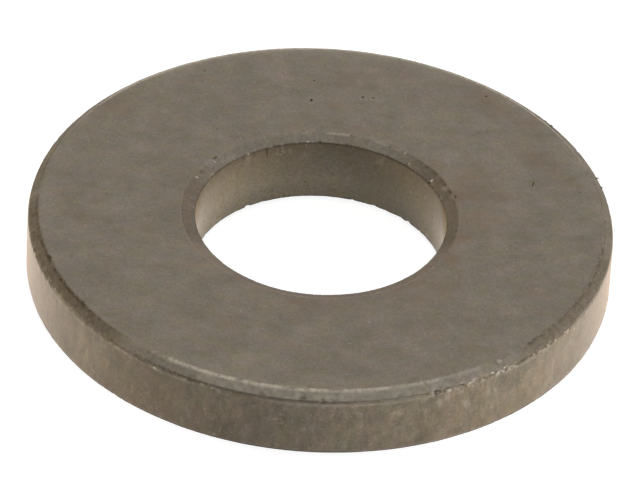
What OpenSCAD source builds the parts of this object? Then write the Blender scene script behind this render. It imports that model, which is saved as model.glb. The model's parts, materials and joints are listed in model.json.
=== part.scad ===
// Ring magnet, sintered hard ferrite, as laid in an oil pan to gather iron dust.
// The ring lies flat. The origin is on its axis in the plane of the lower face, and +Z is up.
// Both faces are ground flat. The outer wall, the bore and the bevels are as pressed.

/* [Ring] */
// Outer diameter of the pressed wall
outer_diameter = 45; // [36:0.5:80]
// Diameter of the pressed bore
bore_diameter = 19.3; // [8:0.1:26]
// Distance between the two ground faces
thickness = 6; // [4:0.1:14]

/* [Bevels] */
// How far an outer bevel reaches in from the outer wall
outer_bevel_width = 0.77; // [0.4:0.01:1.5]
// How far an outer bevel falls from its face to its foot
outer_bevel_height = 0.55; // [0.3:0.01:1]
// How far a bore bevel reaches out from the bore wall
bore_bevel_width = 0.92; // [0.4:0.01:1.5]
// How far a bore bevel falls from its face to its foot
bore_bevel_height = 0.4; // [0.3:0.01:1]
// Radius of the worn corner where a bevel runs into its face
worn_corner_radius = 0.3; // [0.1:0.05:0.5]

/* [Pressing line] */
// Width of the fine groove that runs round the wall at the foot of each outer bevel
groove_width = 0.16; // [0.08:0.01:0.3]
// Depth of that groove
groove_depth = 0.07; // [0.03:0.01:0.15]

/* [Damage] */
// Whether the edges and the upper face have their small chips and pits
damaged = true; // [true, false]
// How deep the chips and pits are, as a share of their usual depth
damage_scale = 1; // [0.5:0.1:1.5]

/* [Hidden] */

// Segments round the ring, and steps in the arc of a worn corner
$fn = 180;
corner_steps = 4;

outer_radius = outer_diameter / 2;
bore_radius = bore_diameter / 2;
outer_rim_radius = outer_radius - outer_bevel_width;
bore_rim_radius = bore_radius + bore_bevel_width;
outer_slope = atan(outer_bevel_height / outer_bevel_width);
bore_slope = atan(bore_bevel_height / bore_bevel_width);
outer_foot_height = thickness - outer_bevel_height;
bore_foot_height = thickness - bore_bevel_height;

// Chips in an edge, each as [bearing in degrees, length along the edge, depth].
// They leave the bore wall between its bevels whole, but for two flakes at its lower end.
outer_foot_chips = [[208, 0.6, 0.10], [238, 0.6, 0.16], [246, 0.9, 0.14], [261, 0.7, 0.16],
                    [269, 0.6, 0.12], [302, 0.8, 0.16], [307, 0.9, 0.18], [318, 0.6, 0.14],
                    [325, 1.0, 0.16], [331, 0.6, 0.14]];
outer_rim_chips = [[200, 0.7, 0.08], [216, 0.6, 0.07], [256, 0.6, 0.09], [266, 0.5, 0.08],
                   [275, 1.2, 0.08], [319, 0.9, 0.09]];
bore_rim_chips = [[19, 0.9, 0.12], [25, 0.7, 0.10], [53, 0.7, 0.09], [79, 0.6, 0.10],
                  [142, 0.8, 0.10], [155, 0.6, 0.09]];
bore_foot_chips = [[32, 1.0, 0.18], [78, 0.5, 0.14], [93, 0.6, 0.12], [118, 0.6, 0.14]];
lower_bore_chips = [[46, 0.5, 0.12], [127, 0.6, 0.14]];

// Pits in the upper face, each as [bearing in degrees, place, width, depth].
// The place runs from 0 at the bore's rim to 1 at the outer rim.
face_pits = [[18, 0.58, 0.5, 0.10], [53, 0.90, 0.35, 0.08], [77, 0.47, 0.3, 0.08],
             [80, 0.46, 0.3, 0.08], [95, 0.37, 0.35, 0.10], [119, 0.87, 0.35, 0.08]];

// Arc that rounds the corner between a flat face and the bevel that falls away from it.
// at is the sharp corner, and side is 1 for a bevel that falls outward and -1 for inward.
function worn_corner(at, slope, side) =
    let (setback = worn_corner_radius * tan(slope / 2))
    [for (step = [0 : corner_steps])
        let (turn = slope * step / corner_steps)
        [at.x + side * (worn_corner_radius * sin(turn) - setback),
         at.y - worn_corner_radius * (1 - cos(turn))]];

function reversed(points) = [for (i = [len(points) - 1 : -1 : 0]) points[i]];

function mirrored(points) = [for (p = reversed(points)) [p.x, thickness - p.y]];

// Upper half of the section: up the bore bevel, over the face, and down to the outer wall
upper_half = concat(
    [[bore_radius, bore_foot_height]],
    reversed(worn_corner([bore_rim_radius, thickness], bore_slope, -1)),
    worn_corner([outer_rim_radius, thickness], outer_slope, 1),
    [[outer_radius - groove_depth, outer_foot_height],
     [outer_radius - groove_depth, outer_foot_height - groove_width / 2],
     [outer_radius, outer_foot_height - groove_width]]);

// Ball that breaks a shallow shell-shaped flake out of the ring at [radius, height].
// lean is the way the broken surface faces, in degrees up from the outward horizontal.
module flake(bearing, radius, height, lean, length, depth) {
    cut = depth * damage_scale;
    ball = (length * length / 4 + cut * cut) / (2 * cut);
    standoff = ball - cut;
    rotate([0, 0, bearing])
        translate([radius + standoff * cos(lean), 0, height + standoff * sin(lean)])
            sphere(r = ball, $fn = 48);
}

module flakes(chips, radius, height, lean) {
    for (chip = chips)
        flake(chip[0], radius, height, lean, chip[1], chip[2]);
}

module damage() {
    flakes(outer_foot_chips, outer_radius, outer_foot_height, 30);
    flakes(outer_rim_chips, outer_rim_radius, thickness, 75);
    flakes(bore_rim_chips, bore_rim_radius, thickness, 100);
    flakes(bore_foot_chips, bore_radius, bore_foot_height, 120);
    flakes(lower_bore_chips, bore_radius, bore_bevel_height, 240);
    for (pit = face_pits)
        flake(pit[0], bore_rim_radius + pit[1] * (outer_rim_radius - bore_rim_radius),
              thickness, 90, pit[2], pit[3]);
}

module ring_magnet() {
    color([0.48, 0.44, 0.39])
        difference() {
            rotate_extrude()
                polygon(concat(upper_half, mirrored(upper_half)));
            if (damaged)
                damage();
        }
}

ring_magnet();
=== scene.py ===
"""Looks of a sintered ferrite ring magnet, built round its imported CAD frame.

The ring is rebuilt as one fine mesh with its chipped edges, pressing line and pits, and gets a
procedural ferrite finish. Mesh code works in millimetres and bearings in degrees, counted from +X
towards +Y; the finished mesh is scaled to metres.
"""
import json
import math

import bpy
import numpy as np
from mathutils import Matrix, Vector
from mathutils.geometry import delaunay_2d_cdt


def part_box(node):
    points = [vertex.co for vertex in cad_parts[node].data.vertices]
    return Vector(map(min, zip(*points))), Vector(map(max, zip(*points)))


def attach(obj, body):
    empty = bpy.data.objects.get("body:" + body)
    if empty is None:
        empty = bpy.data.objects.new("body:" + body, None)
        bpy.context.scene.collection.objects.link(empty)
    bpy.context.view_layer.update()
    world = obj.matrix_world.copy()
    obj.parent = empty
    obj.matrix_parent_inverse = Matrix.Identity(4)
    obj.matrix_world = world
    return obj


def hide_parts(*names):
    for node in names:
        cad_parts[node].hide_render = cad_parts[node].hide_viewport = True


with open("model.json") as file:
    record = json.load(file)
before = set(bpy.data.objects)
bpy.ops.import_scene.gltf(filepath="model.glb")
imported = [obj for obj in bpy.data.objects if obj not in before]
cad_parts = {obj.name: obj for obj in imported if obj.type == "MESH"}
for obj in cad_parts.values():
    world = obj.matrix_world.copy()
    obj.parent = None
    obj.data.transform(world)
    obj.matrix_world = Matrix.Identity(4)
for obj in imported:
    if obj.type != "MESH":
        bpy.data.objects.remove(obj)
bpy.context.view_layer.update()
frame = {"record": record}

MM = 0.001

# ---- sizes, from the frame
NODE = "ring_magnet"
_, node_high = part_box(NODE)
OUTER_RADIUS = node_high.x / MM
THICKNESS = node_high.z / MM
BORE_RADIUS = next(m["dims"]["r_mm"] for m in frame["record"]["mounts"] if m["name"] == "bore")
MIDDLE_RADIUS = (OUTER_RADIUS + BORE_RADIUS) / 2

# Bevels, as (width in from the wall, fall from the face), and the worn corner above them
OUTER_BEVEL = (0.77, 0.55)
BORE_BEVEL = (0.92, 0.40)
CORNER_RADIUS = 0.3
OUTER_BEVEL_LENGTH = math.hypot(*OUTER_BEVEL)
BORE_BEVEL_LENGTH = math.hypot(*BORE_BEVEL)
# Pressing line under each outer bevel, as (depth in from the wall, fall from the face). The lower
# one has fewer points.
PRESSING_LINE = [(0.070, 0.55), (0.074, 0.58), (0.070, 0.62), (0.052, 0.67), (0.026, 0.73), (0.006, 0.81)]
LOWER_PRESSING_LINE = PRESSING_LINE[::2] + PRESSING_LINE[-1:]
# Foot of each bore bevel, in the same way
BORE_FOOT = [(0.0, 0.40), (0.0, 0.44)]

# Edges, each as (radius, height, lean). The lean is the way a broken surface faces there, in degrees
# up from the outward horizontal.
OUTER_FOOT_EDGE = (OUTER_RADIUS, THICKNESS - OUTER_BEVEL[1], 30)
OUTER_RIM_EDGE = (OUTER_RADIUS - OUTER_BEVEL[0], THICKNESS, 75)
BORE_RIM_EDGE = (BORE_RADIUS + BORE_BEVEL[0], THICKNESS, 100)
BORE_FOOT_EDGE = (BORE_RADIUS, THICKNESS - BORE_BEVEL[1], 120)
LOWER_BORE_EDGE = (BORE_RADIUS, BORE_BEVEL[1], 240)
GROOVE_RADIUS = OUTER_RADIUS - PRESSING_LINE[0][0]
GROOVE_EDGE = (GROOVE_RADIUS, THICKNESS - OUTER_BEVEL[1], 30)
LOWER_GROOVE_EDGE = (GROOVE_RADIUS, OUTER_BEVEL[1], -30)
FACE_LEAN = 90

# ---- fineness of the mesh
# Points round the outer wall and round the bore
OUTER_STEPS = 1440
BORE_STEPS = 900
# Rows of a half section, as (distances in from the corner on the face, steps in the corner, steps in
# the bevel, falls of the rows on the wall)
OUTER_UPPER_ROWS = ((0.4, 0.17, 0.08, 0.03), 4, 7, (0.9, 1.02, 1.2, 1.5, 1.85, 2.2, 2.6, 3.0))
OUTER_LOWER_ROWS = ((0.2,), 2, 3, (0.9, 1.4, 1.9, 2.45))
BORE_UPPER_ROWS = ((0.4, 0.15, 0.05), 3, 7, (0.6, 0.95, 1.4, 1.9, 2.4, 3.0))
BORE_LOWER_ROWS = ((0.2,), 2, 3, (0.55, 0.9, 1.5, 2.2))
# Below 1, this crowds a bevel's rows towards its foot.
BEVEL_CROWDING = 0.75
# Finest and coarsest spacing over the upper and the lower face, and how fast it grows from the rims
UPPER_SPACING = (0.2, 0.75)
LOWER_SPACING = (0.4, 1.2)
SPACING_GROWTH = 0.55
# Turn of the rings of points over a face, in degrees a millimetre, so that they don't line up
RING_TWIST = 40
# Rings of points round a pit, as (share of the pit's radius, number of points), and their turn
PIT_RINGS = ((0.2, 8), (0.45, 12), (0.7, 18), (0.9, 24), (1.15, 26), (1.6, 20))
PIT_TWIST = 50
TRIANGLE_TOLERANCE = 1e-7

# ---- chips, pits and marks
# Chips in an edge, each as (bearing, length along the edge, depth, tone). Tone is above 0 where the
# broken surface is pale, and below 0 where it is dark.
OUTER_FOOT_CHIPS = [
    (208, 0.6, 0.1, -0.6), (238, 0.6, 0.16, 0.8), (246, 0.9, 0.14, -0.8), (261, 0.6, 0.1, -0.6),
    (269, 0.6, 0.12, -0.8), (302, 0.8, 0.16, 0.5), (307, 0.9, 0.18, -0.6), (318, 0.6, 0.14, -0.8),
    (325, 1.0, 0.16, -0.7), (331, 0.6, 0.14, -0.8)]
OUTER_RIM_CHIPS = [
    (200, 0.7, 0.08, -0.9), (216, 0.6, 0.07, -0.9), (256, 0.6, 0.09, -0.3), (266, 0.5, 0.08, -0.3),
    (275, 1.2, 0.08, -0.2), (319, 0.7, 0.07, -0.4)]
BORE_RIM_CHIPS = [
    (19, 0.7, 0.07, 0), (25, 0.6, 0.07, 0), (53, 0.5, 0.06, -0.3), (79, 0.4, 0.06, -0.3),
    (142, 0.6, 0.07, -0.15), (155, 0.4, 0.03, 0)]
BORE_FOOT_CHIPS = [
    (32, 0.6, 0.11, 0), (78, 0.3, 0.09, -0.7), (92.5, 0.35, 0.05, -0.6), (118, 0.3, 0.07, -0.6)]
LOWER_BORE_CHIPS = [(46, 0.5, 0.12, -0.5), (127, 0.6, 0.14, -0.5)]
CHIPPED_EDGES = [(OUTER_FOOT_CHIPS, OUTER_FOOT_EDGE), (OUTER_RIM_CHIPS, OUTER_RIM_EDGE),
                 (BORE_RIM_CHIPS, BORE_RIM_EDGE), (BORE_FOOT_CHIPS, BORE_FOOT_EDGE),
                 (LOWER_BORE_CHIPS, LOWER_BORE_EDGE)]
CHIP_SEED = 7
# Pits in the upper face, each as (bearing, radius, width, depth, tone, stretch, heading of the stretch)
FACE_PITS = [
    (18, 17.04, 0.15, 0.07, -0.9, 6.4, 75), (53, 20.61, 0.2, 0.06, -0.6, 1.1, 0),
    (77, 15.81, 0.24, 0.08, -0.6, 1, 0), (80, 15.7, 0.24, 0.08, -0.6, 1.3, 150),
    (95, 14.7, 0.26, 0.1, -0.65, 1.2, 90), (119, 20.28, 0.18, 0.06, -0.3, 1.2, 90),
    (93.8, 17.3, 0.18, 0.05, -0.6, 1, 0), (12.8, 20.3, 0.14, 0.05, -0.25, 1, 0),
    (345.8, 14.74, 0.13, 0.05, -0.6, 1, 0)]

# A broken surface: how far round its ball points are looked for, how many waves make it ragged, how
# short they are, and how high they are as a share of the flake's depth
FLAKE_SEARCH = 1.2
FLAKE_WAVES = 4
FLAKE_WAVINESS = 3.5
FLAKE_RAGGEDNESS = 0.4
# Its tone grows with the depth. A pale core, as (gain, loss), has a dark surround.
PALE_CORE = (3, 0.6)
SURROUND_GAIN = 5
SURROUND_TONE = 0.7
DARK_GAIN = 3

# Small marks, each as (bearing, distance down from the face's rim, length along the edge, width, depth,
# tone), on the outer bevel and wall and on the bore's
OUTER_MARKS = [
    (238.4, 1.3, 0.24, 0.25, 0, 1.0), (246.6, 1.02, 0.95, 0.26, 0.03, -0.6),
    (300.1, 0.95, 0.45, 0.24, 0.08, -0.6), (298.2, 0.95, 0.3, 0.16, 0.05, -0.5),
    (302.9, 0.87, 0.3, 0.2, 0, 0.8), (304.6, 1.0, 0.25, 0.2, 0.05, -0.5),
    (307.1, 0.86, 0.3, 0.24, 0, 1.0), (308.4, 0.97, 0.25, 0.16, 0.05, -0.5),
    (309.9, 0.86, 0.22, 0.18, 0, 0.9), (300.9, 0.88, 0.34, 0.17, 0, 0.55),
    (312.7, 0.92, 0.26, 0.15, 0, 0.5), (309.7, 0.2, 0.55, 0.28, 0.03, 0.3),
    (294.9, 0.55, 0.5, 0.32, 0.02, 0.18), (293.0, 0.6, 0.32, 0.26, 0.02, 0.18),
    (316.4, 0.97, 0.8, 0.26, 0.04, -0.5), (322.2, 1.15, 0.32, 0.26, 0.06, -0.6),
    (324.4, 0.97, 0.36, 0.26, 0.06, -0.6), (327.0, 0.97, 0.32, 0.22, 0.05, -0.5),
    (296.9, 1.78, 0.6, 0.8, 0, 0.18), (301.4, 2.93, 0.6, 1.0, 0, 0.15), (306.0, 2.1, 0.4, 2.2, 0, 0.12),
    (295.4, 2.1, 0.5, 1.0, 0, 0.18), (307.8, 2.67, 0.35, 0.45, 0, 0.25), (233.7, 4.5, 0.6, 0.6, 0, 0.6),
    (229.6, 1.22, 0.6, 0.26, 0, 0.3), (231.7, 1.25, 0.5, 0.24, 0, 0.3), (227.5, 1.2, 0.4, 0.2, 0, 0.25),
    (292.0, 1.5, 0.6, 0.5, 0, 0.18), (299.5, 1.5, 0.7, 0.45, 0, 0.18),
    (268.4, 0.78, 0.62, 0.46, 0.06, -1.0), (264.4, 0.86, 0.36, 0.22, 0.03, -0.7),
    (260.6, 0.74, 0.42, 0.24, 0.03, -0.5), (272.4, 1.14, 0.44, 0.3, 0, -0.35),
    (287.3, 0.72, 0.5, 0.26, 0.03, -0.5), (289.8, 0.78, 0.3, 0.2, 0.03, -0.45),
    (246.2, 0.7, 0.85, 0.3, 0, -0.35)]
BORE_MARKS = [
    (32.8, 0.66, 0.22, 0.22, 0, 1.0), (32.9, 0.92, 0.34, 0.16, 0.03, -0.8),
    (35.4, 0.87, 0.34, 0.16, 0.03, -0.6), (34.4, 0.62, 0.18, 0.28, 0.02, -0.6),
    (24.6, 0.25, 0.6, 0.48, 0.03, 0.22), (17.6, 0.12, 0.55, 0.34, 0.03, 0.2),
    (21.2, 0.03, 0.5, 0.18, 0.03, -0.8), (17.2, -0.13, 0.5, 0.18, 0.03, -0.8),
    (20.8, 1.1, 0.25, 0.2, 0.03, -0.7), (36.0, -0.03, 1.4, 0.16, 0.02, -0.5),
    (30.5, 0.01, 1.0, 0.16, 0.02, -0.5), (38.9, 0.1, 0.34, 0.24, 0.02, -0.5),
    (48.5, 0.71, 0.28, 0.18, 0, 0.45), (53.6, 0.02, 0.22, 0.16, 0, 0.5),
    (142.6, -0.06, 0.55, 0.2, 0.04, -0.7), (144.6, 0.25, 0.16, 0.16, 0, 0.65),
    (153.8, 0.3, 0.5, 0.28, 0.04, -0.45), (158.2, 0.3, 0.15, 0.15, 0, 0.8),
    (127.4, 0.98, 0.24, 0.16, 0, 0.6), (98.0, 0.88, 0.26, 0.14, 0, 0.8),
    (95.8, 0.92, 0.22, 0.1, 0, 0.35), (92.6, 0.96, 0.55, 0.18, 0.04, -0.7),
    (107.4, 0.1, 0.16, 0.14, 0, 0.3), (79.2, 0.06, 0.24, 0.16, 0.02, -0.7),
    (117.7, 1.39, 0.2, 0.6, 0.03, -0.9), (77.7, 1.33, 0.3, 0.24, 0.03, -1.0),
    (65.8, 2.58, 0.2, 0.2, 0, -0.5), (130.3, 1.22, 0.24, 0.2, 0, -0.7),
    (124.3, 1.13, 0.24, 0.2, 0, -0.7)]
# How ragged a mark's outline is, where it ends as a share of its size, and how sharply
MARK_RAGGEDNESS = 0.25
MARK_END = 1.1
MARK_SHARPNESS = 2.2
# Stands for the distance down the surface of points that no mark may touch
OUT_OF_REACH = 99

# Grit clinging to the outer edge, each as (bearing, half width, height), and how dark it is
GRIT = [(15.8, 0.16, 0.10), (19.0, 0.09, 0.30), (38.2, 0.18, 0.09), (40.1, 0.14, 0.08)]
GRIT_TONE = 0.7

# ---- stretches of wear and dirt
# Each stretch of an edge is (bearing, reach in degrees, strength). The first list is of the places
# where the outer pressing line has crumbled.
EVERYWHERE = (0, 400)
CRUMBLED = [(302, 13, 1.0), (324, 9, 0.6), (340, 10, 0.2), (224, 42, 0.5)]
# The bore's bevel reaches further out, by this much. The face behind it is drawn along as far as the fade.
WIDE_BORE_BEVEL = [(182, 42, 1.0)]
WIDENING = 0.2
WIDENING_FADE = 1.2
# The bore's edges have small flakes.
BROKEN_BORE_EDGES = [(85, 100, 1.0)]
# The outer rim holds dark dust.
RIM_DUST = [(206, 19, 1.0), (337, 23, 0.75), (321, 5, 0.8), (189, 15, 0.7), (5, 20, 0.4)]
# The dust in the pressing line lies wider, and thinner.
FOOT_DIRT = [(212, 30, 1.0), (318, 16, 0.8), (248, 14, 0.4), (265, 18, 0.25)]
THIN_FOOT_DUST = [(221, 17, 0.4), (268, 28, 0.18)]
# The bevels are soiled; on the outer bevel the soil is partly painted shade, most at the rear right.
SOILED_AND_SHADED_BEVEL = [(203, 32, 1.15), (334, 24, 0.95), (10, 25, 0.6), (160, 26, 0.8), (52, 28, 1.0)]
SOILED_BORE_BEVEL = [(15, 42, 0.33), (182, 30, 0.25)]
# Painted shade darkens the front of the outer wall.
SHADED_FRONT_WALL = [(251, 22, 0.2)]
# Dirt lies along the bore's rim and along the foot of its bevel.
BORE_RIM_DIRT = [(32, 17, 0.75), (52, 12, 0.4)]
BORE_FOOT_DIRT = [(50, 14, 0.7), (160, 30, 1.0), (20, 14, 0.5), (90, 40, 0.35)]
# The painted shade at the top of the bore is stronger here.
DEEPER_BORE_SHADE = [(135, 42, 0.1)]
# The outer rim and the bore's rim are worn, and a pale line is painted along them as a painted highlight
# where they catch the light, at the front and the back.
WORN_RIM_HIGHLIGHT = [
    (234, 4, 0.15), (238.3, 2.6, 0.4), (242.9, 3.2, 0.85), (250.3, 6.2, 1.0), (260.7, 6, 0.9),
    (269.5, 5.4, 0.85), (280, 8, 0.75), (291, 7, 0.5), (301, 5, 0.3), (98, 62, 0.7)]
WORN_BORE_RIM_HIGHLIGHT = [(84.5, 6.5, 0.55), (99, 1.3, 0.35), (65, 4, 0.35), (58, 3, 0.3)]
# A painted highlight along the rear rim just before its corner, wider at the back.
REAR_CORNER_HIGHLIGHT = [(84, 66, 0.9)]
WIDE_REAR_CORNER_HIGHLIGHT = [(94, 50, 1.0)]
# The wall is rubbed pale just under the pressing line.
PALE_LEDGE = [(222, 20, 0.15), (242, 6, 0.3), (274, 16, 0.35), (292, 12, 0.3), (314, 14, 0.25)]
# The outer bevel is painted paler as painted light where light falls on it, at the front and the back.
LIT_BEVEL = [(263, 22, 1.7), (284, 18, 1.0), (92, 45, 2.5)]
# The ground face is a little paler along its outer rim.
PALE_FACE_RIM = [(95, 44, 1.3), (30, 34, 0.8), (268, 40, 0.4), (180, 22, 0.4)]
# The bore's bevel is stained brown.
BROWN_BORE_BEVEL = [(190, 45, 0.8), (340, 30, 0.9), (262, 80, 1.0), (12, 30, 0.9)]

# Random small flakes, each group as (seed, count, stretches, lengths, edge, tones)
SCATTERED_FLAKES = [
    (11, 110, CRUMBLED + [(*EVERYWHERE, 0.2)], (0.12, 0.3), GROOVE_EDGE, (-0.8, 0.4)),
    (12, 90, [(*EVERYWHERE, 1.0)], (0.12, 0.35), OUTER_RIM_EDGE, (-0.4, 0.3)),
    (13, 60, BROKEN_BORE_EDGES, (0.10, 0.3), BORE_RIM_EDGE, (-0.35, 0.25)),
    (14, 80, BROKEN_BORE_EDGES, (0.12, 0.3), BORE_FOOT_EDGE, (-0.6, 0.3)),
    (15, 30, [(*EVERYWHERE, 1.0)], (0.12, 0.25), LOWER_GROOVE_EDGE, (-0.8, 0.4)),
    (16, 60, [(*EVERYWHERE, 1.0)], (0.12, 0.35), LOWER_BORE_EDGE, (-0.8, 0.4))]
# Their depth as a share of the length, how far they stray from the edge, how much the lean varies, and
# how many times longer they are drawn along the edge
SCATTERED_DEPTHS = (0.08, 0.2)
SCATTERED_STRAY = 0.04
SCATTERED_LEAN = 12
SCATTERED_STRETCHES = (1, 2.2)

# ---- patches on the upper face
# Dark smudges, paler patches and brown stains, each as (x, y, length, width, heading, strength)
SMUDGES = [
    (16.0, 8.5, 1.4, 0.9, 140, 0.2), (17.6, 8.1, 4.2, 0.5, 125, 0.1), (10.7, 2.8, 1.3, 1.2, 90, 0.12),
    (-6.8, 18.4, 0.9, 0.7, 0, 0.18), (19.4, 4.5, 1.1, 0.5, 160, 0.16), (-18.6, -2.2, 0.9, 0.7, 0, 0.15),
    (15.9, 13.3, 1.5, 0.9, 0, 0.15), (16.2, 5.3, 1.4, 0.5, 10, 0.13), (10.1, -4.4, 0.8, 1.2, 70, 0.08),
    (6.8, 8.7, 1.4, 0.7, 130, 0.13), (11.8, 16.2, 1.5, 0.7, 150, 0.08), (6.1, 18.6, 1.3, 0.6, 10, 0.1),
    (-4.8, 16.9, 0.9, 0.6, 0, 0.1), (-6.9, -14.9, 0.9, 0.6, 0, 0.09), (4.7, 19.7, 1.1, 0.6, 10, 0.09),
    (-10.5, 3.5, 1.4, 1.8, 90, 0.08), (12.8, 3.4, 1.7, 0.7, 0, 0.08), (0.6, 11.1, 1.6, 0.5, 0, 0.08),
    (-3.0, 10.6, 1.4, 0.5, 20, 0.08)]
PALER_PATCHES = [
    (18.8, 9.9, 1.2, 0.9, 120, 0.1), (14.9, 5.5, 1.2, 0.7, 0, 0.09), (13.3, -16.6, 1.6, 0.9, 40, 0.07),
    (17.5, 2.3, 1.4, 0.9, 0, 0.06), (12.0, 12.8, 1.6, 1.1, 0, 0.05), (2.4, 17.7, 1.4, 0.8, 0, 0.05),
    (-12.8, -9.4, 0.5, 0.4, 0, 0.12)]
STAINS = [
    (10.7, 3.2, 1.3, 1.6, 90, 1.0), (10.9, -2.0, 0.9, 1.4, 90, 0.9), (9.9, -4.8, 0.9, 1.3, 70, 0.9),
    (0.5, 14.2, 1.0, 0.7, 0, 0.7), (12.7, 16.5, 1.9, 0.8, 160, 0.8), (12.8, 3.2, 2.4, 0.8, 5, 0.8),
    (8.6, 7.0, 1.2, 0.8, 130, 0.7), (16.7, -8.8, 0.8, 0.8, 0, 0.7), (-1.6, -11.1, 1.6, 0.6, 0, 0.8),
    (6.6, -8.7, 2.6, 0.7, 40, 0.8), (-6.5, -14.1, 0.9, 0.9, 0, 0.6), (-2.7, 11.0, 1.0, 0.6, 20, 0.6),
    (2.2, 11.2, 1.4, 0.6, 170, 0.6), (15.9, 13.4, 2.2, 1.2, 0, 0.6), (16.2, 8.9, 2.6, 1.2, 140, 0.5),
    (18.5, 6.4, 3.8, 0.45, 140, 0.9), (-18.5, -1.9, 1.2, 0.8, 0, 0.8), (-9.6, -7.2, 1.6, 0.9, 30, 0.5),
    (11.2, 5.2, 3.4, 2.2, 60, 0.6), (11.8, 0.5, 2.2, 3.0, 90, 0.55), (9.0, -9.0, 4.0, 1.4, 45, 0.5),
    (-16.5, 12.5, 3.0, 1.4, 35, 0.5), (13.2, 15.2, 3.0, 1.0, 150, 0.5), (0.5, -11.6, 5.0, 1.2, 0, 0.4),
    (3, 18.0, 5.0, 1.6, 10, 0.4)]

# ---- shapes and strengths of wear and dirt
# Noises over the ring, each as (seed, cells round it, size of a cell across in millimetres)
COARSE_NOISE = (1, 140, 3.0)
STREAK_NOISE = (2, 700, 2.5)
FINE_NOISE = (3, 1300, 0.11)
CLUMP_NOISE = (4, 420, 0.3)
GRAIN_NOISE = (5, 780, 0.17)
SHRED_NOISE = (6, 900, 0.16)
NOISE_ROWS = 64

# Lines along an edge, each as (distance past it, waviness, half width)
RIM_WEAR_LINE = (0.03, 0, 0.16)
FOOT_WEAR_LINE = (0.02, 0, 0.2)
BORE_FOOT_WEAR_LINE = (0.02, 0, 0.14)
CRUMBLE_LINE = (0.18, 0, 0.55)
RIM_DUST_LINE = (0.08, 0.07, 0.28)
BORE_RIM_DIRT_LINE = (0.02, 0.05, 0.17)
BORE_FOOT_DIRT_LINE = (0, 0, 0.13)
WORN_RIM_HIGHLIGHT_LINE = (0.07, 0.03, 0.29)
WORN_BORE_RIM_HIGHLIGHT_LINE = (0.05, 0.03, 0.085)
LEDGE_LINE = (0.36, 0, 0.16)
FACE_RIM_LINE = (-0.1, 0, 1.5)
BROWN_LINE = (0.3, 0, 0.9)
# The rear corner's painted highlight: its distance past the rim and its half width, and what the back adds to
# each
REAR_CORNER_HIGHLIGHT_LINE = (-0.03, 0.17)
REAR_CORNER_HIGHLIGHT_GROWTH = (-0.07, 0.1)
# The pressing line's dust: its setback towards the bevel, its reach, and what the wider places add
FOOT_DUST_SETBACK = 0.05
FOOT_DUST_REACH = 0.16
FOOT_DIRT_REACH = 0.16
# Widths over which the ground face gives way to the bevels, and over which a bevel's soil and painted shade
# set in
FACE_BORDER = 0.1
BEVEL_BORDER = 0.05
# Where the walls' finish sets in past the bevels' feet, as (start, width)
WALL_START = (0.1, 0.15)
BORE_WALL_START = (0, 0.1)
# Points within this distance of the upper face's height are on the face.
FACE_TOLERANCE = 0.01

# How far the surface is worn in, each as (level, weight of each noise)
PRESSED_WEAR = (0.012, 0.006)
RIM_WEAR = (0.012, 0.014, 0.01)
FOOT_WEAR = (0.010, 0.010, 0.01)
CRUMBLE_WEAR = (0.04, 0.045, 0.04)
DRAG_MARKS = 0.0015
# How noises wave the face's border, and how they break up dirt, wear, painted shade and painted light, in the
# same way
BORDER_WAVES = (0, 0.06, 0.04)
RAGGED = (0.75, 0.45, 0.4)
FOOT_DUST_BREAKS = (0.8, 0.5, 0.3)
BEVEL_DARKENING_BREAKS = (0.5, 0.09, 0.12)
BORE_SOIL_BREAKS = (1, 0.3)
WALL_SHADE_BREAKS = (0.75, 0.5)
LOOSE_GRAINS = (-0.4, -2, -1.2)
BRIGHT_GRAINS = (-0.65, 1.8, 1.6)
BORE_RIM_BREAKS = (0.55, 0.6, 0.5)
WEAR_AND_HIGHLIGHT_BREAKS = (0.85, 0.6)
BEVEL_LIGHT_BREAKS = (0.13, 0.1)
# Strengths of dirt, wear and stains, and of the painted shade at the top of the bore
RIM_DUST_TONE = 1.035
FOOT_DUST_TONE = 0.85
GRAIN_TONE = 0.7
BORE_SHADE_TONE = 0.67
FACE_RIM_TONE = 0.1
BROWN_TONE = 0.6
# Where the pressing line has crumbled most, this share of its dust has gone.
CRUMBLED_DUST_LOSS = 0.5
# Depth down the bore at which its painted shade has faded out
BORE_SHADE_REACH = 3.8

# ---- finish
# Masks that mix the finish, each a value from 0 to 1 on every point of the mesh
# dark holds dirt together with painted shade; pale holds wear together with painted highlights and painted
# light.
MASKS = ("pressed", "burnished", "bore", "dark", "pale", "brown")

# Each surface from greenish to pinkish: the ground face, the pressed bevels and the pressed walls
GROUND = [(0.170, 0.1675, 0.1375, 1), (0.193, 0.1635, 0.1415, 1)]
BEVELS = [(0.145, 0.145, 0.123, 1), (0.164, 0.144, 0.126, 1)]
WALLS = [(0.122, 0.1125, 0.0765, 1), (0.1455, 0.1095, 0.0775, 1)]
# The bore's walls are painted much lighter than the outer walls: painted light standing in for light bounced
# up into the bore.
LIT_BORE_WALLS = [(0.279, 0.243, 0.163, 1), (0.292, 0.239, 0.164, 1)]
BROWN = (0.175, 0.122, 0.088, 1)
# Colour of dirt and of painted shade
GRIME_AND_SHADE = (0.045, 0.033, 0.022, 1)
PALE = (0.43, 0.405, 0.35, 1)

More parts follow.
